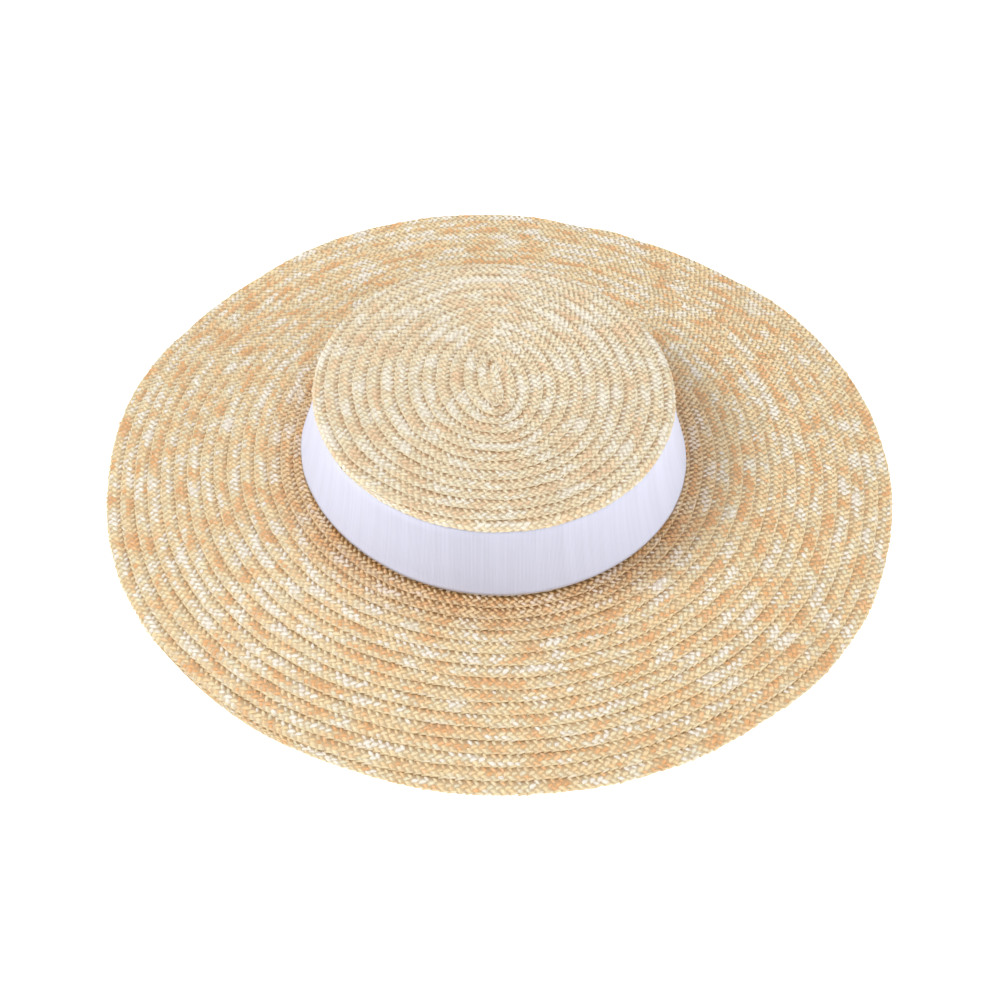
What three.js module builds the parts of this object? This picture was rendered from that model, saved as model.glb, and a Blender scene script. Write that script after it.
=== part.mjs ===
// Straw boater hat: a low flat crown, a wide brim and a plain ribbon band, resting on its brim.
// Millimetres, +Z up. X runs across the head and Y along it, with the back of the hat at +Y.
// The origin is on the surface that the hat rests on, under the middle of the brim.

import * as THREE from "three";

// The straw braid is sewn in ovals round its first fold, so an oval's half-length is its half-width plus this
const CROWN_FOLD = 13.5;
const BRIM_FOLD = 16;

// Straw: thickness where one row laps over the next, the step down between rows, and the width of that step
const STRAW_THICKNESS = 2.1;
const ROW_STEP = 0.7;
const ROW_STEP_WIDTH = 0.3;
const GAP = 0.3;

// Brim: half-widths, and the height of its underside at the crown above the surface it rests on
const BRIM_HALF_WIDTH = 193.2;
const BRIM_START = 93.2;
const BRIM_ROWS = 15;
const BRIM_SEAT = 5;
const BRIM_DROOP = 2;
const EDGE_ROUND = 0.7;
const UNDERSIDE_RINGS = [105, 125, 145, 165, 181];

// Crown: half-widths of its outside, heights above the brim's seat, and how far it sits off the brim's middle
const CROWN_FOOT = 91.8;
const CROWN_NECK = 86;
const CROWN_HEIGHT = 38;
const CROWN_OFFSET = { x: -2, y: 0.3 };
const WALL_FLARE = 1.5;
const WALL_STEPS = 4;
const TIP_HALF_WIDTH = 87.6;
const TIP_ROWS = 13;
const BUTTON_HALF_WIDTH = 7;
const TIP_EDGE_DEPTH = 4.1;
const INNER_CORNER = 3;

// Ribbon band: a flat strip round the crown's wall, with its two ends lapped at the back
const RIBBON_THICKNESS = 1.1;
const RIBBON_FOOT_CLEARANCE = 0.7;
const RIBBON_TOP_CLEARANCE = 0.5;
const RIBBON_LAP = { angle: 93, span: 18, extra: 1 };

// Gentle waves of the brim's edge: where each lies, how wide it is (degrees) and how far it lifts or dips (mm)
const BRIM_WAVES = [
  { angle: 48, spread: 12, lift: -5.6 },
  { angle: 69, spread: 5, lift: -2 },
  { angle: 98, spread: 18, lift: 1.5 },
  { angle: 138, spread: 12, lift: -5.6 },
  { angle: 192, spread: 12, lift: -5.6 },
  { angle: 216, spread: 9, lift: 1.5 },
  { angle: 244, spread: 9, lift: 1.5 },
  { angle: 298, spread: 9, lift: 1.5 },
  { angle: 324, spread: 14, lift: -5.6 },
];

const SEGMENTS = 60;

const point = (halfWidth, height) => new THREE.Vector2(halfWidth, height);

// Height of the brim's underside: a slight droop to the edge, waved, and flat wherever it meets the surface
function brimLevel(halfWidth, degrees) {
  const reach = (halfWidth - BRIM_START) / (BRIM_HALF_WIDTH - BRIM_START);
  const outward = THREE.MathUtils.clamp(reach, 0, 1);
  let wave = 0;
  for (const { angle, spread, lift } of BRIM_WAVES) {
    const turn = THREE.MathUtils.euclideanModulo(degrees - angle + 180, 360) - 180;
    wave += lift * Math.exp(-((turn / spread) ** 2));
  }
  return Math.max(0, BRIM_SEAT - BRIM_DROOP * outward + wave * outward ** 2);
}

// Outside half-width of the crown's wall, which flares out towards its foot
function wallHalfWidth(height) {
  const foot = crownFoot();
  const top = crownTop() - TIP_EDGE_DEPTH;
  const down = THREE.MathUtils.clamp((top - height) / (top - foot), 0, 1);
  return CROWN_NECK + (CROWN_FOOT - CROWN_NECK) * down ** WALL_FLARE;
}

function crownFoot() {
  return BRIM_SEAT + STRAW_THICKNESS + GAP;
}

function crownTop() {
  return BRIM_SEAT + STRAW_THICKNESS + CROWN_HEIGHT;
}

// Rows of braid on a top face, from the outside in: each row's outer edge stands above the row it laps over
function lappedRows(inner, outer, rows, top) {
  const profile = [];
  for (let row = rows - 1; row >= 0; row -= 1) {
    const edge = inner + ((outer - inner) * row) / rows;
    profile.push(point(edge + ROW_STEP_WIDTH, top - ROW_STEP));
    profile.push(point(edge, top));
  }
  return profile;
}

// Turns a profile about the head's axis, then lays it out on the oval
function ovalBody(profile, place) {
  const geometry = new THREE.LatheGeometry(profile, SEGMENTS);
  geometry.rotateX(Math.PI / 2);
  const position = geometry.getAttribute("position");
  const spot = new THREE.Vector3();
  for (let i = 0; i < position.count; i += 1) {
    spot.fromBufferAttribute(position, i);
    const row = i % profile.length;
    const turn = ((Math.floor(i / profile.length) / SEGMENTS) * 360 + 270) % 360;
    place(spot, profile[row].x, turn, row);
    position.setXYZ(i, spot.x, spot.y, spot.z);
  }
  geometry.computeVertexNormals();
  return geometry;
}

function crownGeometry() {
  const top = crownTop();
  const neck = top - TIP_EDGE_DEPTH;
  const ceiling = top - STRAW_THICKNESS;
  const profile = [point(0, ceiling), point(CROWN_NECK - STRAW_THICKNESS - INNER_CORNER, ceiling)];
  for (let step = 0; step <= WALL_STEPS; step += 1) {
    const height = ceiling - INNER_CORNER - ((ceiling - INNER_CORNER - crownFoot()) * step) / WALL_STEPS;
    profile.push(point(wallHalfWidth(height) - STRAW_THICKNESS, height));
  }
  for (let step = 0; step <= WALL_STEPS; step += 1) {
    const height = crownFoot() + ((neck - crownFoot()) * step) / WALL_STEPS;
    profile.push(point(wallHalfWidth(height), height));
  }
  profile.push(point(TIP_HALF_WIDTH, neck + (TIP_HALF_WIDTH - CROWN_NECK) / 2));
  profile.push(point(TIP_HALF_WIDTH, top - 2 * EDGE_ROUND));
  profile.push(point(TIP_HALF_WIDTH - EDGE_ROUND, top));
  profile.push(...lappedRows(BUTTON_HALF_WIDTH, TIP_HALF_WIDTH, TIP_ROWS, top));
  profile.push(point(0, top));
  return ovalBody(profile, (spot, halfWidth, degrees) => {
    const turn = THREE.MathUtils.degToRad(degrees);
    spot.x += CROWN_OFFSET.x;
    spot.y += CROWN_OFFSET.y + CROWN_FOLD * Math.sin(turn);
  });
}

function brimGeometry() {
  const hole = CROWN_FOOT - STRAW_THICKNESS;
  const profile = [point(hole, 0)];
  for (const ring of UNDERSIDE_RINGS) {
    profile.push(point(ring, 0));
  }
  profile.push(point(BRIM_HALF_WIDTH - EDGE_ROUND, 0));
  profile.push(point(BRIM_HALF_WIDTH, EDGE_ROUND));
  profile.push(point(BRIM_HALF_WIDTH, STRAW_THICKNESS - EDGE_ROUND));
  profile.push(point(BRIM_HALF_WIDTH - EDGE_ROUND, STRAW_THICKNESS));
  profile.push(...lappedRows(BRIM_START, BRIM_HALF_WIDTH, BRIM_ROWS, STRAW_THICKNESS));
  profile.push(point(hole, STRAW_THICKNESS));
  profile.push(point(hole, 0));
  return ovalBody(profile, (spot, halfWidth, degrees) => {
    const turn = THREE.MathUtils.degToRad(degrees);
    const outward = (halfWidth - hole) / (BRIM_HALF_WIDTH - hole);
    spot.x += CROWN_OFFSET.x * (1 - outward);
    spot.y += CROWN_OFFSET.y * (1 - outward);
    spot.y += (CROWN_FOLD + (BRIM_FOLD - CROWN_FOLD) * outward) * Math.sin(turn);
    spot.z += brimLevel(halfWidth, degrees);
  });
}

function ribbonGeometry() {
  const foot = crownFoot() + RIBBON_FOOT_CLEARANCE;
  const top = crownTop() - TIP_EDGE_DEPTH - RIBBON_TOP_CLEARANCE;
  const profile = [];
  for (let step = WALL_STEPS; step >= 0; step -= 1) {
    const height = foot + ((top - foot) * step) / WALL_STEPS;
    profile.push(point(wallHalfWidth(height) + GAP, height));
  }
  for (let step = 0; step <= WALL_STEPS; step += 1) {
    const height = foot + ((top - foot) * step) / WALL_STEPS;
    profile.push(point(wallHalfWidth(height) + GAP + RIBBON_THICKNESS, height));
  }
  profile.push(profile[0].clone());
  return ovalBody(profile, (spot, halfWidth, degrees, row) => {
    const turn = THREE.MathUtils.degToRad(degrees);
    const outside = row > WALL_STEPS && row < profile.length - 1;
    const lapped = Math.abs(degrees - RIBBON_LAP.angle) <= RIBBON_LAP.span / 2;
    const extra = outside && lapped ? RIBBON_LAP.extra : 0;
    spot.x += CROWN_OFFSET.x + extra * Math.cos(turn);
    spot.y += CROWN_OFFSET.y + (CROWN_FOLD + extra) * Math.sin(turn);
  });
}

function piece(name, geometry, material) {
  const mesh = new THREE.Mesh(geometry, material);
  mesh.name = name;
  return mesh;
}

const strawOfCrown = new THREE.MeshStandardMaterial({ color: 0xe2cd9d, roughness: 0.45, metalness: 0 });
const strawOfBrim = new THREE.MeshStandardMaterial({ color: 0xdcb980, roughness: 0.45, metalness: 0 });
const ribbedRibbon = new THREE.MeshStandardMaterial({ color: 0xdedeea, roughness: 0.85, metalness: 0 });

const hat = new THREE.Group();
hat.name = "boater_hat";
hat.add(piece("crown", crownGeometry(), strawOfCrown));
hat.add(piece("brim", brimGeometry(), strawOfBrim));
hat.add(piece("ribbon_band", ribbonGeometry(), ribbedRibbon));

export default hat;
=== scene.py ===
"""Straw boater hat: sewn straw braid and a ribbed ribbon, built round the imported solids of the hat.

Metres, +Z up. X runs across the head and Y along it, with the back of the hat at +Y. The braid is plaited
straw, about 10 mm wide, sewn round and round in a spiral so that each row laps over the next one out.
"""

import math

import bpy
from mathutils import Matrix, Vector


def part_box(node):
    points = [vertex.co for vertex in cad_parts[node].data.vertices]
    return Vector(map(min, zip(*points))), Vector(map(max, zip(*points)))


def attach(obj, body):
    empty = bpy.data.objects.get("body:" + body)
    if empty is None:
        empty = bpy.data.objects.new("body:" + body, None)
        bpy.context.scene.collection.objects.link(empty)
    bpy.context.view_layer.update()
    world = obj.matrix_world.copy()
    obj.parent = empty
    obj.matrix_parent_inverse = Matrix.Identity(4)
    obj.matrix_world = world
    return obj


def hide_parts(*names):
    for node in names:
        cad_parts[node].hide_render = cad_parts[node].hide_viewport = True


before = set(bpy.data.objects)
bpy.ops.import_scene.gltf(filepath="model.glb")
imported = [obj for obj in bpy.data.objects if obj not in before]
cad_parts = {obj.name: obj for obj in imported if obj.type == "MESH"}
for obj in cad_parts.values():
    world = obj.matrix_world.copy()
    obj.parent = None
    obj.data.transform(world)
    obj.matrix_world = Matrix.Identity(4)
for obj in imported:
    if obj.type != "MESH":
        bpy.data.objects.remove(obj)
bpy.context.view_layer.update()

bl_info = {
    "name": "Straw boater hat",
    "version": (1, 0, 0),
    "blender": (4, 5, 0),
    "location": "View3D > Sidebar > Boater",
    "description": "Sews a straw boater from plaited braid and binds it with a ribbed ribbon",
    "category": "Add Mesh",
}

MM = 0.001
TURN = 2 * math.pi
DEGREE = math.radians(1)
BODY = "root"

# The hat's solids give its sizes: an oval's half-length is its half-width plus its fold
CROWN_LOW, CROWN_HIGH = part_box("crown")
BRIM_LOW, BRIM_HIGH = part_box("brim")
RIBBON_LOW, RIBBON_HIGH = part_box("ribbon_band")
CROWN_FOOT = (CROWN_HIGH.x - CROWN_LOW.x) / 2
CROWN_FOLD = (CROWN_HIGH.y - CROWN_LOW.y) / 2 - CROWN_FOOT
CROWN_X = (CROWN_HIGH.x + CROWN_LOW.x) / 2
CROWN_Y = (CROWN_HIGH.y + CROWN_LOW.y) / 2
CROWN_TOP = CROWN_HIGH.z
WALL_FOOT = CROWN_LOW.z
BRIM_RIM = (BRIM_HIGH.x - BRIM_LOW.x) / 2
BRIM_FOLD = (BRIM_HIGH.y - BRIM_LOW.y) / 2 - BRIM_RIM

# Crown: half-width of the wall under the tip, how the wall flares to its foot and how far it is sewn down
# into the brim, and the tip with its rounded edge and the share of the fold that its first row takes up
CROWN_NECK = 86 * MM
WALL_FLARE = 1.5
WALL_SEAM = 1.6 * MM
TIP_HALF_WIDTH = 87.6 * MM
TIP_EDGE_DEPTH = 4.1 * MM
TIP_ROUND = 2.6 * MM
TIP_ROUND_TURN = math.radians(80)
TIP_FOLD_SHARE = 0.8

# Brim: where its rows start, its thickness where rows lap, and the height and droop of its underside
BRIM_START = 93.2 * MM
BRIM_HOLE = 89.7 * MM
STRAW_THICKNESS = 2.1 * MM
BRIM_SEAT = 5 * MM
BRIM_DROOP = 2 * MM

# Gentle waves of the brim's edge: where each lies, how wide it is (degrees) and how far it lifts
BRIM_WAVES = [
    dict(angle=48, spread=12, peak=-5.6 * MM),
    dict(angle=69, spread=5, peak=-2 * MM),
    dict(angle=98, spread=18, peak=1.5 * MM),
    dict(angle=138, spread=12, peak=-5.6 * MM),
    dict(angle=192, spread=12, peak=-5.6 * MM),
    dict(angle=216, spread=9, peak=1.5 * MM),
    dict(angle=244, spread=9, peak=1.5 * MM),
    dict(angle=298, spread=9, peak=1.5 * MM),
    dict(angle=324, spread=14, peak=-5.6 * MM),
]

# The braid ends at this angle of the hat, in degrees, and runs clockwise seen from above. Its last row
# thins out over the last part of a turn, and the rows' change of width there is softened
BRAID_END_ANGLE = 212
LAST_ROW_TAPER = 0.13
ROWS_SOFTENING = 0.05

# Rows of braid on each surface, not counting the part row that the spiral starts with
TIP_ROWS = 13
WALL_ROWS = 5
BRIM_ROWS = 15

# Turns of the spiral at which the braid starts, on the wall and the brim and then on the tip, and at which
# each run of the brim's rows starts and ends
FIRST_TURN = -0.97
TIP_FIRST_TURN = -0.58
BRIM_RUNS = {
    "brim_inner_braid": (FIRST_TURN, 5.6),
    "brim_middle_braid": (5.6, 10.6),
    "brim_outer_braid": (10.6, float(BRIM_ROWS)),
}

# Places across a row of braid, outwards from the edge of the row that laps over it, and half its height
ROW_WIDTH = 6.67 * MM
CORE_INNER = -2.1 * MM
CORE_OUTER = 6.5 * MM
BRAID_HALF_HEIGHT = 0.5 * MM

# The thin core under the straws: how dark it is, with painted shade where it shows between them, how
# patchy it is, and the cuts in its strip on the tip
CORE_THICKNESS = 0.24 * MM
CORE_SHADE = 0.4
CORE_TONE = 0.5
CORE_PATCHES = 0.6
TIP_CORE_CUTS = 3

# How far above and below the core a straw stands before the painted shade between the straws leaves it,
# and how many rows next to the crown take the crown's painted shadow
STRAW_RELIEF = 0.62 * MM
UNDERSIDE_RELIEF = 0.16 * MM
SHADED_ROWS = 3.0

# The sewn path: its points for each turn, and how far and how often it wanders across and wavers up
PATH_POINTS = 96
WANDER = 1.1 * MM
WANDERS_PER_TURN = 23
WAVER = 0.35 * MM
WAVERS_PER_TURN = 17

# No row laps over the spiral's start: before this turn its inner edge counts as lying up to so far across
FOLD_TURNS = 0.3
FOLD_PLACE = 0.35

# Patches of like tones: how many a metre, along the braid and across it
PATCHES_ALONG = 75
PATCHES_ACROSS = 170

# Starting numbers of the random values: for each piece, for each tier of straws, and for the smooth noises
TIP_SEED = 0
WALL_SEED = 100
BRIM_SEED = 200
RUN_SEED_STEP = 100
TIER_SEED_STEP = 10
WANDER_SEED = 3.1
WAVER_SEED = 9.7
PATCH_SEED = 7.3

# Where the plait's straws show, tier by tier across a row: the middle of a straw, its lean off the row in
# degrees, its size and its arch, and its shift along the braid as a share of the pitch
STRAW_TIERS = [
    dict(across=-1.3 * MM, lean=45, length=3.6 * MM, width=2.7 * MM, rise=0.3 * MM, shift=0.0),
    dict(across=1.0 * MM, lean=-46, length=4.2 * MM, width=2.0 * MM, rise=0.4 * MM, shift=0.5),
    dict(across=3.0 * MM, lean=44, length=4.2 * MM, width=2.7 * MM, rise=0.4 * MM, shift=0.0),
    dict(across=4.95 * MM, lean=-40, length=4.1 * MM, width=2.6 * MM, rise=0.42 * MM, shift=0.5),
    dict(across=6.2 * MM, lean=12, length=4.4 * MM, width=1.5 * MM, rise=0.42 * MM, shift=0.25),
]

# The narrower of a straw's two flat faces, as a share of its width
FLAT_SHARE = 0.5

# How the straws differ, each time from the least to the most: where they lie, how they turn (radians), how
# large and how thick they are, and their tone
STRAW_SPREAD = {
    "along": (-0.3 * MM, 0.3 * MM),
    "across": (-0.15 * MM, 0.15 * MM),
    "up": (-0.1 * MM, 0.06 * MM),
    "turn": (-0.16, 0.16),
    "size": (0.88, 1.14),
    "thickness": (0.75, 1.25),
    "tone": (0.0, 1.0),
}

# Colour stops of the straw, from 0 to 1, by name in the colour settings, and how much a straw's patch, its
# own tone and its bleaching weigh in the choice
STRAW_STOPS = {0.0: "deep", 0.12: "orange", 0.28: "golden", 0.55: "cream", 0.72: "green", 0.86: "silver"}
PATCH_WEIGHT = 2.3
TONE_WEIGHT = 0.55
PALE_WEIGHT = 0.2

# Marks on the straw: how many a metre, across a straw and along it, and how far apart two tones take them
STRAW_MARKS = {
    "grain": dict(across=2600, along=260, apart=91),
    "blotch": dict(across=500, along=300, apart=37),
    "speck": dict(across=1300, along=800, apart=53),
}

# Light and shade painted on the straw: its darkest streak and what its fibre grain and the painted sparkle
# of its specks add to it, the least painted shade in a gap and how it falls off, the painted shadow of the
# crown on the rows next to it, and how rough the straw is
STREAK_LEAST = 0.66
STREAK_OF_GRAIN = 0.36
STREAK_OF_SPECKS = 0.44
GAP_LEAST = 0.57
GAP_FALL = 1.3
CROWN_ROOT_SHADE = 0.0
BRIM_ROOT_SHADE = 0.36
STRAW_ROUGHNESS = 0.3
BLOTCH_ROUGHNESS = 0.25

# Ribbon: how much wider it is than its solid, its gap to the wall, how it laps over itself at the back,
# and how it tucks in at its top edge
RIBBON_EXTRA = 1.3 * MM
RIBBON_WIDTH = RIBBON_HIGH.z - RIBBON_LOW.z + RIBBON_EXTRA
RIBBON_GAP = 0.3 * MM
RIBBON_LAP_ANGLE = 93
RIBBON_LAP_SPAN = 18
RIBBON_LAP_RAMP = 0.02
RIBBON_LAP_GAP = 0.15 * MM
RIBBON_TUCK = 0.9 * MM
RIBBON_TUCKED_SHARE = 0.15

# How far and how often the ribbon sways in and out, along it and up it
RIBBON_SWAY = 0.35 * MM
SWAYS_ALONG = 45
SWAYS_UP = 0.7

# Where the ribbon's foot stands out from the wall: angle and width in degrees, and how far
RIBBON_FLARES = [
    dict(angle=176, spread=32, peak=3.6 * MM),
    dict(angle=338, spread=38, peak=3.0 * MM),
]

# The ribbon's mesh: columns of points for each rib, and rows of points up it
COLUMNS_PER_RIB = 3
RIBBON_ROWS = 9

# Marks on the ribbon: how many along it and up it, and how far they lighten or darken it
RIBBON_MARKS = {
    "soft": dict(along=75, up=12, strength=0.1),
    "cord": dict(along=560, up=9, strength=0.16),
    "thread": dict(along=3000, up=9000, strength=0.05),
}
# Painted shade in the grooves between the ribs: how light the bottom of a groove is; and how much darker
# the selvedge is
RIB_SHADE = 0.8
SELVEDGE_SHADE = 0.02

# Camera: the photograph's place and angle, found by fitting the hat's ovals in it
CAMERA_PLACE = (-0.0546, -0.5206, 0.4701)
CAMERA_TURN = (math.radians(46), 0, math.radians(-6.14))

# Soft lamps, all turned to the middle of the floor: where they hang, their size in metres and their watts
LAMPS = {
    "left_window": dict(place=(-1.4, 0.0, 1.3), size=0.7, power=21),
    "right_window": dict(place=(1.7, -0.6, 0.45), size=0.8, power=13),
    "back_panel": dict(place=(0.0, 1.6, 1.5), size=1.2, power=5),
    "front_panel": dict(place=(0.1, -1.7, 1.2), size=1.2, power=14),
}


def linear(red, green, blue):
    """A colour of a photograph, from 0 to 255, as the linear colour that shaders use."""
    def channel(value):
        share = value / 255
        return share / 12.92 if share <= 0.04045 else ((share + 0.055) / 1.055) ** 2.4

    return (channel(red), channel(green), channel(blue))


class Value:
    """A socket in a node tree that can be used in sums: each sum adds its Math node."""

    def __init__(self, maker, socket):
        self.maker = maker
        self.socket = socket

    def __add__(self, other):
        return self.maker.math("ADD", self, other)

    def __radd__(self, other):
        return self.maker.math("ADD", other, self)

    def __sub__(self, other):
        return self.maker.math("SUBTRACT", self, other)

    def __rsub__(self, other):
        return self.maker.math("SUBTRACT", other, self)

    def __mul__(self, other):
        return self.maker.math("MULTIPLY", self, other)

    def __rmul__(self, other):
        return self.maker.math("MULTIPLY", other, self)

    def __truediv__(self, other):
        return self.maker.math("DIVIDE", self, other)

    def __pow__(self, other):
        return self.maker.math("POWER", self, other)

    def clamp(self, low=0.0, high=1.0):
        return self.maker.math("MINIMUM", self.maker.math("MAXIMUM", self, low), high)

    def past(self, start, gain, most):
        """From 0 at the start up to the most, the faster the larger the gain is."""
        return ((self - start) * gain).clamp() * most

    def fading(self, gain, most):
        """From the most at 0 down to nothing, the faster the larger the gain is."""
        return (1.0 - self * gain).clamp() * most

    def part(self, axis):
        """One part of a vector: X, Y or Z."""
        return self.maker.add("ShaderNodeSeparateXYZ", {}, {"Vector": self}, axis)


class Maker:
    """Adds nodes to one tree: the settings of a node first, then the values or links of its sockets."""

    def __init__(self, tree):
        self.tree = tree

    def in_use(self, sockets, key):
        """The socket with that name or place among those that the node's settings leave in use."""
        used = [socket for socket in sockets if socket.enabled]
        if isinstance(key, int):
            return used[key]
        return next(socket for socket in used if socket.name == key)

    def node(self, kind, settings=None, sockets=None):
        node = self.tree.nodes.new(kind)
        for name, value in (settings or {}).items():
            if name == "stops":
                self.set_stops(node.color_ramp, value)
            else:
                setattr(node, name, value)
        for key, value in (sockets or {}).items():
            for part in value if isinstance(value, list) else [value]:
                self.fill(self.in_use(node.inputs, key), part)
        return node

    def add(self, kind, settings=None, sockets=None, output=0):
        """A new node, as the value of one of its outputs."""
        node = self.node(kind, settings, sockets)
        return Value(self, self.in_use(node.outputs, output))

    def fill(self, socket, value):
        if isinstance(value, Value):
            self.tree.links.new(value.socket, socket)
        else:
            socket.default_value = value

    def set_stops(self, ramp, stops):
        while len(ramp.elements) < len(stops):
            ramp.elements.new(1.0)
        for element, (place, colour) in zip(ramp.elements, stops.items()):
            element.position = place
            element.color = (*colour, 1.0)

    def math(self, operation, *values):
        return self.add("ShaderNodeMath", {"operation": operation}, dict(enumerate(values)))

    def vector(self, x, y, z):
        return self.add("ShaderNodeCombineXYZ", {}, {"X": x, "Y": y, "Z": z})

    def mix(self, factor, first, second, blend="MIX"):
        """Two colours mixed."""
        settings = {"data_type": "RGBA", "blend_type": blend}
        sockets = {"Factor": factor, "A": first, "B": second}
        return self.add("ShaderNodeMix", settings, sockets)


class GeometryMaker(Maker):
    """Adds nodes to a new Geometry Nodes tree, which has named inputs for its sizes."""

    def __init__(self, name, inputs):
        tree = bpy.data.node_groups.new(name, "GeometryNodeTree")
        tree.is_modifier = True
        super().__init__(tree)
        kinds = {float: "Float", int: "Int", type(None): "Material"}
        for label, value in inputs.items():
            made = tree.interface.new_socket(
                label, in_out="INPUT", socket_type="NodeSocket" + kinds[type(value)]
            )
            if value is not None:
                made.default_value = value
        tree.interface.new_socket("Geometry", in_out="OUTPUT", socket_type="NodeSocketGeometry")
        group_input = tree.nodes.new("NodeGroupInput")
        self.given = {label: Value(self, group_input.outputs[label]) for label in inputs}

    def attribute(self, name):
        return self.add("GeometryNodeInputNamedAttribute", {"data_type": "FLOAT"}, {"Name": name})

    def store(self, geometry, name, value, domain="POINT", kind="FLOAT"):
        settings = {"data_type": kind, "domain": domain}
        sockets = {"Geometry": geometry, "Name": name, "Value": value}
        return self.add("GeometryNodeStoreNamedAttribute", settings, sockets)

    def place(self, geometry, position):
        return self.add("GeometryNodeSetPosition", {}, {"Geometry": geometry, "Position": position})

    def position(self):
        return self.add("GeometryNodeInputPosition")

    def random(self, low, high, seed):
        sockets = {"Min": low, "Max": high, "Seed": seed}
        return self.add("FunctionNodeRandomValue", {"data_type": "FLOAT"}, sockets)

    def noise_along(self, place):
        """Smooth noise from 0 to 1 that changes from one whole number to the next."""
        sockets = {"W": place, "Scale": 1.0, "Detail": 1.0}
        return self.add("ShaderNodeTexNoise", {"noise_dimensions": "1D"}, sockets)

    def end(self, geometry):
        self.node("NodeGroupOutput", {}, {"Geometry": geometry})
        return self.tree


def straw_strand_tree():
    """One flat straw, leaning off the row and arched so that its ends dive under its neighbours."""
    maker = GeometryMaker("Straw strand", {
        "Length": 3 * MM,
        "Lean": 0.8,
        "Width": 2 * MM,
        "Thickness": 0.6 * MM,
        "Rise": 0.5 * MM,
        "Sink": 0.2 * MM,
        "End width": 0.7,
        "Roll": 0.2,
        "Stations": 3,
    })
    given = maker.given
    half = given["Length"] / 2
    along = half * maker.math("COSINE", given["Lean"])
    across = half * maker.math("SINE", given["Lean"])
    line = maker.add("GeometryNodeCurvePrimitiveLine", {}, {
        "Start": maker.vector(along * -1, across * -1, 0.0),
        "End": maker.vector(along, across, 0.0),
    })
    curve = maker.add("GeometryNodeResampleCurve", {"mode": "COUNT"}, {
        "Curve": line,
        "Count": given["Stations"],
    })
    factor = maker.add("GeometryNodeSplineParameter", output="Factor")
    curve = maker.store(curve, "along", maker.add("GeometryNodeSplineParameter", output="Length"))
    arch = maker.math("SINE", factor * math.pi)
    lift = maker.vector(0.0, 0.0, given["Rise"] * arch - given["Sink"])
    curve = maker.add("GeometryNodeSetPosition", {}, {"Geometry": curve, "Offset": lift})
    curve = maker.add("GeometryNodeSetCurveNormal", {"mode": "Z_UP"}, {"Curve": curve})
    curve = maker.add("GeometryNodeSetCurveTilt", {}, {"Curve": curve, "Tilt": given["Roll"]})
    radius = given["End width"] + (1.0 - given["End width"]) * arch
    straw = maker.add("GeometryNodeCurvePrimitiveQuadrilateral", {"mode": "TRAPEZOID"}, {
        "Bottom Width": given["Width"] * FLAT_SHARE,
        "Top Width": given["Width"],
        "Offset": 0.0,
        "Height": given["Thickness"],
    })
    straw = maker.store(straw, "across", maker.position().part("X"))
    mesh = maker.add("GeometryNodeCurveToMesh", {}, {
        "Curve": curve,
        "Profile Curve": straw,
        "Scale": radius,
        "Fill Caps": True,
    })
    return maker.end(mesh)


def row_edge(maker, turn, rows, lowest):
    """How far out, from 0 to 1, the inner edge of the row lies that is this many turns along the spiral.

    The rim is a plain oval, so the rows grow a little narrower along each turn and widen again where the
    last row has thinned out.
    """
    lap = maker.math("FRACT", turn)
    back = (1.0 - lap) * ((1 - LAST_ROW_TAPER) / LAST_ROW_TAPER)
    grown = maker.math("SMOOTH_MIN", lap, back, ROWS_SOFTENING)
    return (turn / (grown + float(rows))).clamp(lowest, 1.0)


def bumps(maker, rows, degrees):
    """The sum of the bumps in a table, each highest at its own angle and fading on both sides of it."""
    total = 0.0
    for row in rows:
        turned = maker.math("WRAP", degrees - row["angle"], 180, -180) / row["spread"]
        total = total + row["peak"] * maker.math("EXPONENT", turned * turned * -1)
    return total


def brim_level(maker, half_width, degrees):
    """Height of the brim's underside: a slight droop to the edge, waved, and nowhere below the floor."""
    outward = ((half_width - BRIM_START) / (BRIM_RIM - BRIM_START)).clamp()
    wave = bumps(maker, BRIM_WAVES, degrees)
    return maker.math("MAXIMUM", BRIM_SEAT - outward * BRIM_DROOP + wave * outward * outward, 0.0)


def wall_half_width(maker, height):
    """Outside half-width of the crown's wall, which flares out towards its foot."""
    top = CROWN_TOP - TIP_EDGE_DEPTH
    down = ((top - height) / (top - WALL_FOOT)).clamp()
    return CROWN_NECK + (CROWN_FOOT - CROWN_NECK) * down ** WALL_FLARE


def lay_on_tip(maker, share, rise, degrees):
    """Where a point of the braid goes on the flat top, which rounds down at its edge."""
    flat_end = TIP_HALF_WIDTH - BRAID_HALF_HEIGHT - TIP_ROUND * math.sin(TIP_ROUND_TURN)
    reach = flat_end + TIP_ROUND * TIP_ROUND_TURN
    sine = maker.math("SINE", degrees * DEGREE)
    lowest = (sine * sine - 1.0) * (CROWN_FOLD * TIP_FOLD_SHARE)
    outward = (share * reach).clamp(lowest, reach)
    turned = ((outward - flat_end) / TIP_ROUND).clamp(0.0, TIP_ROUND_TURN)
    sideways = maker.math("SINE", turned)
    upward = maker.math("COSINE", turned)
    half_width = maker.math("MINIMUM", outward, flat_end) + sideways * (rise + TIP_ROUND)
    height = CROWN_TOP - BRAID_HALF_HEIGHT - TIP_ROUND + upward * (rise + TIP_ROUND)
    return oval_point(maker, half_width, degrees, CROWN_FOLD, (CROWN_X, CROWN_Y), height)


def lay_on_wall(maker, share, rise, degrees):
    """Where a point of the braid goes on the crown's wall, from under the tip down to the brim."""
    top = CROWN_TOP - TIP_EDGE_DEPTH
    height = top - share * (top - WALL_FOOT + WALL_SEAM)
    half_width = wall_half_width(maker, height) - BRAID_HALF_HEIGHT + rise
    return oval_point(maker, half_width, degrees, CROWN_FOLD, (CROWN_X, CROWN_Y), height)


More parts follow.
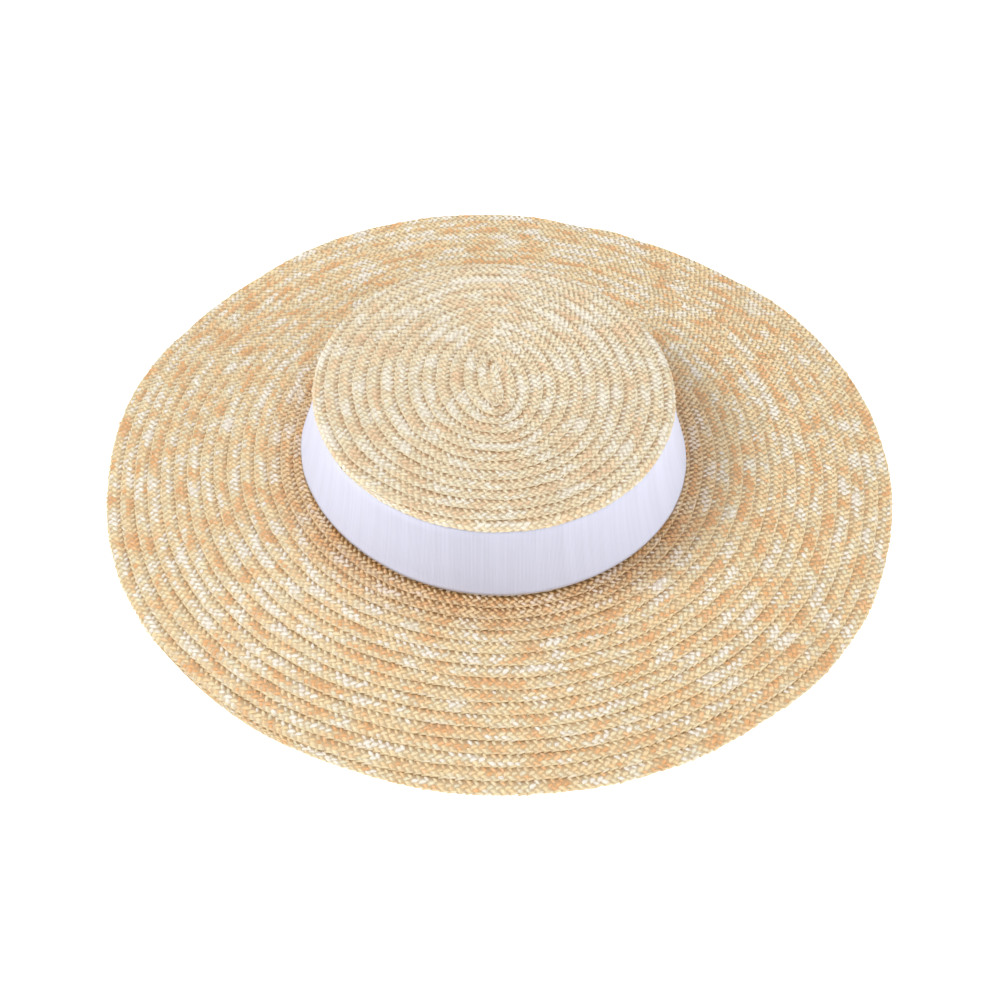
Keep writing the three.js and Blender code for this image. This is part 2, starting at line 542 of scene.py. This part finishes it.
def lay_on_brim(maker, share, rise, degrees):
    """Where a point of the braid goes on the brim."""
    half_width = BRIM_START + share * (BRIM_RIM - BRIM_START)
    height = brim_level(maker, half_width, degrees) + STRAW_THICKNESS - BRAID_HALF_HEIGHT + rise
    outward = (half_width - BRIM_HOLE) / (BRIM_RIM - BRIM_HOLE)
    centre = (CROWN_X * (1.0 - outward), CROWN_Y * (1.0 - outward))
    fold = CROWN_FOLD + (BRIM_FOLD - CROWN_FOLD) * outward
    return oval_point(maker, half_width, degrees, fold, centre, height)


def oval_point(maker, half_width, degrees, fold, centre, height):
    """The point at that angle of an oval, which is longer from front to back by its fold."""
    angle = degrees * DEGREE
    x = centre[0] + half_width * maker.math("COSINE", angle)
    y = centre[1] + (half_width + fold) * maker.math("SINE", angle)
    return maker.vector(x, y, height)


def sewn_braid_tree(name, lay, rows, lowest=0.0, folded=False):
    """Geometry Nodes that plait a braid and sew it in a spiral on the surface that lay describes.

    A folded spiral starts round a fold of the braid itself, where the rows lie flat.
    """
    maker = GeometryMaker(name, {
        "First turn": FIRST_TURN,
        "Last turn": float(rows),
        "Pitch": 3.4 * MM,
        "Row step": 0.4 * MM,
        "Straw thickness": 0.5 * MM,
        "Core cuts": 1,
        "Seed": 1,
        "Material": None,
    })
    given = maker.given

    def placed(turn, across, rise):
        """Where a point of the braid goes once it is sewn: its turn, place across and height are given."""
        inner = row_edge(maker, turn, rows, lowest)
        outer = row_edge(maker, turn + 1.0, rows, lowest)
        wander = maker.noise_along(turn * WANDERS_PER_TURN + given["Seed"] * WANDER_SEED)
        waver = maker.noise_along(turn * WAVERS_PER_TURN + given["Seed"] * WAVER_SEED)
        part = (across + (wander - 0.5) * WANDER) / ROW_WIDTH
        rise = rise + (waver - 0.5) * WAVER
        share = inner + (outer - inner) * part
        tilt = given["Row step"] * (part - 1.0)
        if folded:
            tilt = tilt * (share * float(rows)).clamp()
        degrees = BRAID_END_ANGLE - turn * 360
        return lay(maker, share, rise + tilt, degrees)

    def patches_at(across):
        """Noise whose patches run along the braid."""
        along = maker.attribute("length") * PATCHES_ALONG
        return maker.add("ShaderNodeTexNoise", {"noise_dimensions": "3D"}, {
            "Vector": maker.vector(along, across * PATCHES_ACROSS, given["Seed"] * PATCH_SEED),
            "Scale": 1.0,
            "Detail": 0.0,
        })

    turns = given["Last turn"] - given["First turn"]
    line = maker.add("GeometryNodeCurvePrimitiveLine")
    path = maker.add("GeometryNodeResampleCurve", {"mode": "COUNT"}, {
        "Curve": line,
        "Count": turns * PATH_POINTS,
    })
    factor = maker.add("GeometryNodeSplineParameter", output="Factor")
    path = maker.store(path, "turn", given["First turn"] + turns * factor)
    path = maker.place(path, placed(maker.attribute("turn"), ROW_WIDTH / 2, 0.0))
    path = maker.add("GeometryNodeResampleCurve", {"mode": "LENGTH"}, {
        "Curve": path,
        "Length": given["Pitch"],
    })
    index = maker.add("GeometryNodeInputIndex")
    later = maker.math("MAXIMUM", index, 1)
    turn = maker.attribute("turn")
    after = maker.add("GeometryNodeFieldAtIndex", {}, {"Value": turn, "Index": later})
    before = maker.add("GeometryNodeFieldAtIndex", {}, {"Value": turn, "Index": later - 1})
    path = maker.store(path, "turn_step", (after - before) / given["Pitch"])
    length = index * given["Pitch"]
    path = maker.store(path, "length", length)
    core = maker.place(path, maker.vector(length, 0.0, 0.0))
    strip = maker.add("GeometryNodeCurvePrimitiveQuadrilateral", {}, {
        "Width": CORE_OUTER - CORE_INNER,
        "Height": CORE_THICKNESS,
    })
    strip = maker.add("GeometryNodeTransform", {}, {
        "Geometry": strip,
        "Translation": (-(CORE_OUTER + CORE_INNER) / 2, 0.0, 0.0),
    })
    strip = maker.add("GeometryNodeSubdivideCurve", {}, {"Curve": strip, "Cuts": given["Core cuts"]})
    core = maker.add("GeometryNodeCurveToMesh", {}, {
        "Curve": core,
        "Profile Curve": strip,
        "Fill Caps": True,
    })
    place = maker.position()
    core = maker.place(core, maker.vector(0.0, place.part("Y"), place.part("Z")))
    core = maker.store(core, "turn_step", 0.0)
    patches = patches_at(place.part("Y")) * CORE_PATCHES + (1 - CORE_PATCHES) / 2
    core = maker.store(core, "patch", patches)
    core = maker.store(core, "tone", CORE_TONE)
    # Painted shade: the core is darkened where it shows down between the straws
    core = maker.store(core, "shade", CORE_SHADE)

    points = maker.add("GeometryNodeCurveToPoints", {"mode": "EVALUATED"}, {"Curve": path})
    strand_tree = straw_strand_tree()
    pieces = [core]
    for number, tier in enumerate(STRAW_TIERS):
        seed = given["Seed"] + TIER_SEED_STEP * number
        strand = maker.add("GeometryNodeGroup", {"node_tree": strand_tree}, {
            "Length": tier["length"],
            "Lean": math.radians(tier["lean"]),
            "Width": tier["width"],
            "Thickness": given["Straw thickness"],
            "Rise": tier["rise"],
        })
        differs = {}
        for draw, (label, (least, most)) in enumerate(STRAW_SPREAD.items(), start=1):
            differs[label] = maker.random(least, most, seed + draw)
        middle = maker.vector(
            given["Pitch"] * tier["shift"] + differs["along"],
            tier["across"] + differs["across"],
            differs["up"],
        )
        strands = maker.add("GeometryNodeInstanceOnPoints", {}, {
            "Points": maker.place(points, middle),
            "Instance": strand,
            "Rotation": maker.vector(0.0, 0.0, differs["turn"]),
            "Scale": maker.vector(differs["size"], differs["size"], differs["thickness"]),
        })
        strands = maker.store(strands, "tone", differs["tone"], "INSTANCE")
        patches = patches_at(tier["across"])
        pieces.append(maker.store(strands, "patch", patches, "INSTANCE"))
    braid = maker.add("GeometryNodeJoinGeometry", {}, {"Geometry": pieces})
    braid = maker.add("GeometryNodeRealizeInstances", {}, {"Geometry": braid})
    place = maker.position()
    fibre = maker.vector(maker.attribute("across"), maker.attribute("along"), maker.attribute("tone"))
    braid = maker.store(braid, "fibre", fibre, kind="FLOAT_VECTOR")
    # Painted shade: the lower a point lies between the straws, and on the core, the darker it is painted;
    # 1 is full light
    rise = maker.math("MAXIMUM", place.part("Z") / STRAW_RELIEF, place.part("Z") / -UNDERSIDE_RELIEF)
    height = rise.clamp() - maker.attribute("shade")
    braid = maker.store(braid, "height", height)
    turn = maker.attribute("turn") + place.part("X") * maker.attribute("turn_step")
    fold = (FOLD_TURNS - turn).clamp(0.0, FOLD_PLACE)
    braid = maker.store(braid, "row_place", maker.math("MAXIMUM", place.part("Y") / ROW_WIDTH, fold))
    # Painted shadow of the crown: the rows next to it are marked, to be painted darker
    rows_out = row_edge(maker, turn, rows, lowest) * float(rows)
    braid = maker.store(braid, "root", (1.0 - rows_out / SHADED_ROWS).clamp())
    braid = maker.place(braid, placed(turn, place.part("Y"), place.part("Z")))
    braid = maker.add("GeometryNodeSetShadeSmooth", {}, {"Geometry": braid})
    braid = maker.add("GeometryNodeSetMaterial", {}, {"Geometry": braid, "Material": given["Material"]})
    return maker.end(braid)


def ribbon_tree():
    """Geometry Nodes that bind the wall with a ribbed strip, lapped over its own start at the back."""
    maker = GeometryMaker("Ribbed ribbon", {
        "Thickness": 0.8 * MM,
        "Ribs": 980,
        "Rib depth": 0.18 * MM,
        "Selvedge": 1.1 * MM,
        "Material": None,
    })
    given = maker.given
    strip = maker.add("GeometryNodeMeshCube", {}, {
        "Size": (1.0, 1.0, 1.0),
        "Vertices X": given["Ribs"] * COLUMNS_PER_RIB,
        "Vertices Y": 2,
        "Vertices Z": RIBBON_ROWS,
    })
    place = maker.position()
    along = place.part("X") + 0.5
    outside = place.part("Y") + 0.5
    upward = 0.5 - 0.5 * maker.math("COSINE", (place.part("Z") + 0.5) * math.pi)
    height = RIBBON_LOW.z + upward * RIBBON_WIDTH
    to_edge = maker.math("MINIMUM", upward, 1.0 - upward) * RIBBON_WIDTH
    woven = (to_edge / given["Selvedge"]).clamp()
    rib = maker.math("SINE", along * given["Ribs"] * TURN) * woven
    sway = maker.add("ShaderNodeTexNoise", {"noise_dimensions": "2D"}, {
        "Vector": maker.vector(along * SWAYS_ALONG, upward * SWAYS_UP, 0.0),
        "Scale": 1.0,
        "Detail": 1.0,
    })
    strip = maker.store(strip, "rib", rib * 0.5 + 0.5)
    strip = maker.store(strip, "selvedge", 1.0 - woven)
    strip = maker.store(strip, "weave", maker.vector(along, height, outside), kind="FLOAT_VECTOR")
    sweep = 360 + RIBBON_LAP_SPAN
    degrees = RIBBON_LAP_ANGLE - RIBBON_LAP_SPAN / 2 + along * sweep
    lap_start = 360 / sweep - RIBBON_LAP_RAMP
    lapped = ((along - lap_start) / RIBBON_LAP_RAMP).clamp()
    depth = outside * (given["Thickness"] + rib * given["Rib depth"] + (sway - 0.5) * RIBBON_SWAY)
    depth = depth + lapped * (given["Thickness"] + RIBBON_LAP_GAP)
    depth = depth * ((1.0 - upward) * RIBBON_WIDTH / RIBBON_TUCK).clamp(RIBBON_TUCKED_SHARE, 1.0)
    flare = bumps(maker, RIBBON_FLARES, degrees) * (1.0 - upward) ** WALL_FLARE
    half_width = wall_half_width(maker, height) + RIBBON_GAP + depth + flare
    point = oval_point(maker, half_width, degrees, CROWN_FOLD, (CROWN_X, CROWN_Y), height)
    strip = maker.place(strip, point)
    strip = maker.add("GeometryNodeSetShadeSmooth", {}, {"Geometry": strip})
    strip = maker.add("GeometryNodeSetMaterial", {}, {"Geometry": strip, "Material": given["Material"]})
    return maker.end(strip)


def made_by(tree, name, inputs):
    """The plain mesh object that a Geometry Nodes tree makes with these inputs."""
    carrier = bpy.data.objects.new(name + "_carrier", bpy.data.meshes.new(name))
    bpy.context.scene.collection.objects.link(carrier)
    modifier = carrier.modifiers.new("Nodes", "NODES")
    modifier.node_group = tree
    for item in tree.interface.items_tree:
        if item.in_out == "INPUT" and item.name in inputs:
            modifier[item.identifier] = inputs[item.name]
    depsgraph = bpy.context.evaluated_depsgraph_get()
    mesh = bpy.data.meshes.new_from_object(carrier.evaluated_get(depsgraph))
    bpy.data.objects.remove(carrier)
    if not mesh.polygons:
        raise RuntimeError(f"the nodes made no {name}")
    mesh.name = name
    for spare in ("turn", "turn_step", "length", "along", "across", "shade"):
        if spare in mesh.attributes:
            mesh.attributes.remove(mesh.attributes[spare])
    made = bpy.data.objects.new(name, mesh)
    bpy.context.scene.collection.objects.link(made)
    return made


class MaterialMaker(Maker):
    """Adds nodes to the emptied tree of a new material."""

    def __init__(self, name):
        self.material = bpy.data.materials.new(name)
        self.material.use_nodes = True
        super().__init__(self.material.node_tree)
        self.tree.nodes.clear()

    def attribute(self, name, output="Fac"):
        return self.add("ShaderNodeAttribute", {"attribute_name": name}, output=output)

    def noise(self, vector):
        return self.add("ShaderNodeTexNoise", {}, {"Vector": vector, "Scale": 1.0, "Detail": 2.0})

    def relief(self, height, strength, distance):
        sockets = {"Strength": strength, "Distance": distance, "Height": height}
        return self.add("ShaderNodeBump", {}, sockets)

    def end(self, shader):
        self.node("ShaderNodeOutputMaterial", {}, {"Surface": shader})
        return self.material


def straw_material(name, colours, paleness, root_shade):
    """Split straw: each strand has its own tone, like tones lie together, and the fibres show. Shade
    between and under the strands, the crown's shadow, a highlight on each row's outer edge and glints are
    painted into its colour.
    """
    maker = MaterialMaker(name)
    tone = maker.attribute("tone")
    patch = maker.attribute("patch")
    height = maker.attribute("height")
    place = maker.attribute("row_place")
    fibre = maker.attribute("fibre", "Vector")
    marks = {}
    for label, row in STRAW_MARKS.items():
        across = fibre.part("X") * row["across"]
        along = fibre.part("Y") * row["along"]
        marks[label] = maker.noise(maker.vector(across, along, tone * row["apart"]))
    choice = (patch - 0.5) * PATCH_WEIGHT + (tone - 0.5) * TONE_WEIGHT + 0.5 + paleness * PALE_WEIGHT
    choice = choice.clamp()
    stops = {stop: tuple(getattr(colours, label)) for stop, label in STRAW_STOPS.items()}
    straw = maker.add("ShaderNodeValToRGB", {"stops": stops}, {"Fac": choice})
    pink = marks["blotch"].past(start=0.56, gain=6, most=0.28)
    straw = maker.mix(pink, straw, (*colours.pink, 1.0))
    # Painted glints: some specks of the straw are mixed towards silver
    painted_glint = marks["speck"].past(start=0.6, gain=8, most=0.3)
    straw = maker.mix(painted_glint, straw, (*colours.silver, 1.0))
    # Streaks of the fibre grain, with painted sparkle from the specks
    streak = STREAK_LEAST + marks["grain"] * STREAK_OF_GRAIN + marks["speck"] * STREAK_OF_SPECKS
    straw = maker.mix(1.0, straw, maker.vector(streak, streak, streak), "MULTIPLY")
    # Painted highlight: the raised outer edge of each row is mixed towards cream, as if catching the light
    edge = place.past(start=0.86, gain=20, most=0.65)
    straw = maker.mix(edge, straw, (*colours.cream, 1.0))
    pale = maker.mix(paleness, straw, (*colours.pale, 1.0))
    # Painted shadow of the crown on the rows next to it
    painted_crown_shadow = maker.attribute("root") * root_shade
    # Painted shade under the row that laps over: a row's inner edge, and the rows in the crown's painted
    # shadow, are mixed towards the deepest tone
    under = place.fading(gain=8, most=0.5) + painted_crown_shadow
    straw = maker.mix(under, pale, (*colours.deep, 1.0))
    # Painted shade down between the straws, strongest near a row's inner edge and in the crown's painted
    # shadow; pale straws take less of it
    notch = place.fading(gain=2.4, most=0.36) + GAP_LEAST + painted_crown_shadow
    gap = (1.0 - height).clamp() ** GAP_FALL
    bright = choice.past(start=0.72, gain=5, most=0.35)
    straw = maker.mix((gap * notch).clamp() * (1.0 - bright), straw, (*colours.gap, 1.0))
    shader = maker.add("ShaderNodeBsdfPrincipled", {}, {
        "Base Color": straw,
        "Roughness": STRAW_ROUGHNESS + marks["blotch"] * BLOTCH_ROUGHNESS,
        "Specular IOR Level": 0.7,
        "Normal": maker.relief(marks["grain"], strength=0.5, distance=0.06 * MM),
    })
    return maker.end(shader)


def ribbon_material(name, colour):
    """Ribbed ribbon: matt, bluish white, with fine wefts between the ribs and a flat selvedge, and shade
    painted into the grooves between the ribs.
    """
    maker = MaterialMaker(name)
    weave = maker.attribute("weave", "Vector")
    # Painted shade in the grooves between the ribs, lightened or darkened by the marks of the weave
    shade = RIB_SHADE + maker.attribute("rib") * (1 - RIB_SHADE)
    marks = {}
    for label, row in RIBBON_MARKS.items():
        place = maker.vector(weave.part("X") * row["along"], weave.part("Y") * row["up"], 0.0)
        marks[label] = maker.noise(place)
        shade = shade + (marks[label] - 0.5) * row["strength"]
    shade = shade - maker.attribute("selvedge") * SELVEDGE_SHADE
    shader = maker.add("ShaderNodeBsdfPrincipled", {}, {
        "Base Color": maker.mix(1.0, (*colour, 1.0), maker.vector(shade, shade, shade), "MULTIPLY"),
        "Roughness": 0.85,
        "Sheen Weight": 0.15,
        "Normal": maker.relief(marks["thread"], strength=0.4, distance=0.05 * MM),
    })
    return maker.end(shader)


def floor_material(name, colour):
    """A matt floor that glows evenly, so that it stays white under the hat's soft shade."""
    maker = MaterialMaker(name)
    shader = maker.add("ShaderNodeBsdfPrincipled", {}, {
        "Base Color": (*colour, 1.0),
        "Roughness": 0.9,
        "Emission Color": (1.0, 1.0, 1.0, 1.0),
        "Emission Strength": 1.0,
    })
    return maker.end(shader)


class StrawColours(bpy.types.PropertyGroup):
    """Colours of the straw, from the tones of the photograph. Deep is also the colour of the painted shade
    under a lapping row and of the crown's painted shadow, cream of the painted highlight on a row's outer
    edge, silver of the painted glints, and gap of the painted shade down between strands.
    """

    deep: bpy.props.FloatVectorProperty(
        name="Deep", description="Darkest strands", subtype="COLOR", default=linear(224, 170, 114)
    )
    orange: bpy.props.FloatVectorProperty(
        name="Orange", description="Orange-tan strands", subtype="COLOR", default=linear(236, 191, 138)
    )
    golden: bpy.props.FloatVectorProperty(
        name="Golden", description="Golden strands", subtype="COLOR", default=linear(231, 203, 154)
    )
    cream: bpy.props.FloatVectorProperty(
        name="Cream", description="Cream strands", subtype="COLOR", default=linear(233, 214, 172)
    )
    green: bpy.props.FloatVectorProperty(
        name="Green", description="Greenish strands", subtype="COLOR", default=linear(223, 214, 180)
    )
    silver: bpy.props.FloatVectorProperty(
        name="Silver", description="Palest strands", subtype="COLOR", default=linear(233, 227, 214)
    )
    pink: bpy.props.FloatVectorProperty(
        name="Pink", description="Pinkish patches", subtype="COLOR", default=linear(234, 213, 206)
    )
    gap: bpy.props.FloatVectorProperty(
        name="Gap", description="Shade down between strands", subtype="COLOR", default=linear(144, 102, 56)
    )
    pale: bpy.props.FloatVectorProperty(
        name="Pale", description="Bleached straw", subtype="COLOR", default=linear(232, 226, 202)
    )
    crown_paleness: bpy.props.FloatProperty(
        name="Crown paleness", description="How bleached the crown is", subtype="FACTOR", default=0.42
    )


class BraidSizes(bpy.types.PropertyGroup):
    """Sizes of the plaited braid."""

    pitch: bpy.props.FloatProperty(
        name="Pitch", description="Length of braid for each strand", default=3.4 * MM, unit="LENGTH"
    )
    step: bpy.props.FloatProperty(
        name="Row step", description="Height of a row over the next", default=0.4 * MM, unit="LENGTH"
    )
    seed: bpy.props.IntProperty(name="Seed", description="Starts the random tones and offsets", default=3)


class RibbonSizes(bpy.types.PropertyGroup):
    """Sizes of the ribbon."""

    thickness: bpy.props.FloatProperty(
        name="Thickness", description="Thickness of the ribbon", default=0.8 * MM, unit="LENGTH"
    )
    ribs: bpy.props.IntProperty(name="Ribs", description="Ribs in the ribbon's whole length", default=980)
    rib_depth: bpy.props.FloatProperty(
        name="Rib depth", description="How far the ribs stand out", default=0.18 * MM, unit="LENGTH"
    )
    colour: bpy.props.FloatVectorProperty(
        name="Colour", description="Colour of the ribbon", subtype="COLOR", default=linear(218, 221, 241)
    )


class StageSizes(bpy.types.PropertyGroup):
    """Floor, light and camera."""

    floor: bpy.props.FloatProperty(
        name="Floor", description="Width of the floor", default=8.0, unit="LENGTH"
    )
    lens: bpy.props.FloatProperty(
        name="Lens", description="Focal length of the camera, in millimetres", default=50.0, unit="CAMERA"
    )
    daylight: bpy.props.FloatProperty(
        name="Daylight", description="Strength of the light all round", default=0.52
    )


def sew(name, tree, inputs, node):
    """A piece of sewn braid that stands for one of the hat's solids."""
    piece = made_by(tree, name, inputs)
    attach(piece, BODY)
    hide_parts(node)


def braid_inputs(context, material, seed, **others):
    """The inputs of a braid's nodes: the panel's sizes, and others by their names in small letters."""
    sizes = context.scene.boater_braid
    inputs = {
        "Pitch": sizes.pitch,
        "Row step": sizes.step,
        "Seed": sizes.seed + seed,
        "Material": material,
    }
    for label, value in others.items():
        inputs[label.capitalize().replace("_", " ")] = value
    return inputs


class BOATER_OT_crown(bpy.types.Operator):
    """Sew the crown's flat top and its wall"""

    bl_idname = "boater.crown"
    bl_label = "Sew the crown"

    def execute(self, context):
        colours = context.scene.boater_straw
        material = straw_material("Crown straw", colours, colours.crown_paleness, CROWN_ROOT_SHADE)
        tip = sewn_braid_tree("Sewn tip", lay_on_tip, TIP_ROWS, -1 / TIP_ROWS, folded=True)
        inputs = braid_inputs(
            context, material, TIP_SEED, first_turn=TIP_FIRST_TURN, core_cuts=TIP_CORE_CUTS
        )
        sew("crown_tip_braid", tip, inputs, "crown")
        wall = sewn_braid_tree("Sewn wall", lay_on_wall, WALL_ROWS)
        inputs = braid_inputs(context, material, WALL_SEED)
        sew("crown_wall_braid", wall, inputs, "crown")
        return {"FINISHED"}


class BOATER_OT_brim(bpy.types.Operator):
    """Sew the brim, in three runs of rows"""

    bl_idname = "boater.brim"
    bl_label = "Sew the brim"

    def execute(self, context):
        colours = context.scene.boater_straw
        material = straw_material("Brim straw", colours, paleness=0.0, root_shade=BRIM_ROOT_SHADE)
        lowest = (BRIM_HOLE - BRIM_START) / (BRIM_RIM - BRIM_START)
        tree = sewn_braid_tree("Sewn brim", lay_on_brim, BRIM_ROWS, lowest)
        for number, (name, (first, last)) in enumerate(BRIM_RUNS.items()):
            seed = BRIM_SEED + RUN_SEED_STEP * number
            inputs = braid_inputs(context, material, seed, first_turn=first, last_turn=last)
            sew(name, tree, inputs, "brim")
        return {"FINISHED"}


class BOATER_OT_ribbon(bpy.types.Operator):
    """Bind the crown's wall with the ribbon"""

    bl_idname = "boater.ribbon"
    bl_label = "Bind with ribbon"

    def execute(self, context):
        sizes = context.scene.boater_ribbon
        ribbon = made_by(ribbon_tree(), "ribbon_band_cloth", {
            "Thickness": sizes.thickness,
            "Ribs": sizes.ribs,
            "Rib depth": sizes.rib_depth,
            "Material": ribbon_material("Ribbed ribbon", sizes.colour),
        })
        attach(ribbon, BODY)
        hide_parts("ribbon_band")
        half_width = (CROWN_NECK + CROWN_FOOT) / 2
        round_the_crown = TURN * (half_width + CROWN_FOLD / 2)
        length = round_the_crown * (360 + RIBBON_LAP_SPAN) / 360
        return {"FINISHED"}


def lay_floor(context, width):
    half = width / 2
    mesh = bpy.data.meshes.new("floor")
    corners = [(-half, -half, 0), (half, -half, 0), (half, half, 0), (-half, half, 0)]
    mesh.from_pydata(corners, [], [(0, 1, 2, 3)])
    mesh.materials.append(floor_material("Floor", linear(250, 250, 250)))
    floor = bpy.data.objects.new("floor", mesh)
    context.scene.collection.objects.link(floor)


def hang_lights(context, daylight):
    world = bpy.data.worlds.new("Daylight")
    world.use_nodes = True
    background = world.node_tree.nodes["Background"]
    background.inputs["Color"].default_value = (1.0, 1.0, 1.0, 1.0)
    background.inputs["Strength"].default_value = daylight
    context.scene.world = world
    for name, row in LAMPS.items():
        data = bpy.data.lights.new(name, "AREA")
        data.size = row["size"]
        data.energy = row["power"]
        lamp = bpy.data.objects.new(name, data)
        lamp.location = row["place"]
        lamp.rotation_euler = (-lamp.location).to_track_quat("-Z", "Y").to_euler()
        context.scene.collection.objects.link(lamp)


def set_camera(context, focal_length):
    data = bpy.data.cameras.new("camera")
    data.lens = focal_length
    camera = bpy.data.objects.new("camera", data)
    camera.location = CAMERA_PLACE
    camera.rotation_euler = CAMERA_TURN
    context.scene.collection.objects.link(camera)
    context.scene.camera = camera
    context.scene.view_settings.view_transform = "Standard"


class BOATER_OT_stage(bpy.types.Operator):
    """Add the floor, the lights and the camera"""

    bl_idname = "boater.stage"
    bl_label = "Set the stage"

    def execute(self, context):
        sizes = context.scene.boater_stage
        lay_floor(context, sizes.floor)
        hang_lights(context, sizes.daylight)
        set_camera(context, sizes.lens)
        return {"FINISHED"}


class BOATER_PT_panel(bpy.types.Panel):
    """Lists the hat's pieces and their sizes"""

    bl_idname = "BOATER_PT_panel"
    bl_label = "Straw boater hat"
    bl_space_type = "VIEW_3D"
    bl_region_type = "UI"
    bl_category = "Boater"

    def draw(self, context):
        for operator in OPERATORS:
            self.layout.operator(operator.bl_idname)
        for label in SETTINGS:
            settings = getattr(context.scene, label)
            box = self.layout.box()
            box.label(text=label.replace("_", " ").capitalize())
            for name in settings.__annotations__:
                box.prop(settings, name)


OPERATORS = [BOATER_OT_crown, BOATER_OT_brim, BOATER_OT_ribbon, BOATER_OT_stage]
SETTINGS = {
    "boater_straw": StrawColours,
    "boater_braid": BraidSizes,
    "boater_ribbon": RibbonSizes,
    "boater_stage": StageSizes,
}
CLASSES = [StrawColours, BraidSizes, RibbonSizes, StageSizes, *OPERATORS, BOATER_PT_panel]


def register():
    for item in CLASSES:
        bpy.utils.register_class(item)
    for label, group in SETTINGS.items():
        setattr(bpy.types.Scene, label, bpy.props.PointerProperty(type=group))


def unregister():
    for label in SETTINGS:
        delattr(bpy.types.Scene, label)
    for item in reversed(CLASSES):
        bpy.utils.unregister_class(item)


def main():
    register()
    bpy.ops.boater.crown()
    bpy.ops.boater.brim()
    bpy.ops.boater.ribbon()
    bpy.ops.boater.stage()


if __name__ == "__main__":
    main()
